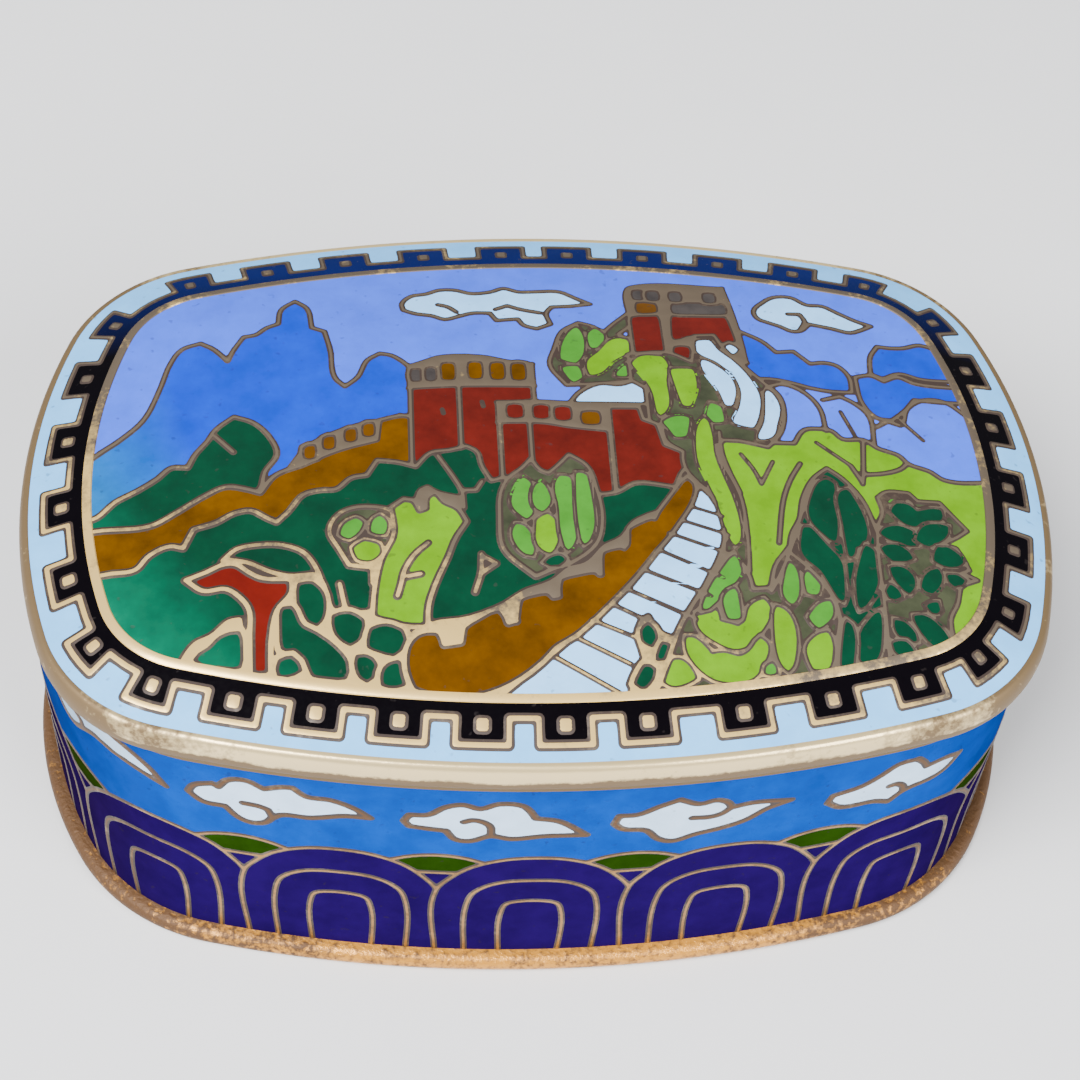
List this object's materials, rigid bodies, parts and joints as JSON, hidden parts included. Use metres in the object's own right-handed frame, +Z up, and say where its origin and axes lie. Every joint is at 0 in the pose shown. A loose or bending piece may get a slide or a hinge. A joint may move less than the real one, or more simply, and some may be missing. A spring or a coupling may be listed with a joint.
{
  "type": "cloisonne enamel box",
  "caption": "Small oval-cornered trinket box of copper covered in wired enamel, with a low domed lid that lifts off.",
  "frame": {"origin": "centre of the footprint, on the surface that the foot ring stands on", "axes": "+X along the length, +Y across the width away from the viewer, +Z up through the lid"},
  "size_m": [0.0852, 0.0564, 0.0336],
  "materials": {
    "brass": "polished, worn and slightly tarnished",
    "copper_shell": "copper sheet, satin, enamelled plain blue on the inside",
    "enamel_wall": "glossy enamel, navy arches below and blue sky with clouds above, between brass wires",
    "enamel_border": "glossy light-blue enamel with a black battlement pattern between brass wires",
    "enamel_picture": "glossy enamel picture of hills, walls and towers between brass wires",
    "enamel_plain": "plain blue enamel, slightly uneven"
  },
  "bodies": {
    "root": {"base_shell": "copper_shell", "base_wall_enamel": "enamel_wall", "base_under_enamel": "enamel_plain", "base_foot_ring": "brass", "base_mouth_rim": "brass", "base_collar": "brass", "lid_shell": "copper_shell", "lid_rim": "brass", "lid_border_enamel": "enamel_border", "lid_panel_wire": "brass", "lid_picture_enamel": "enamel_picture"}
  },
  "joints": []
}
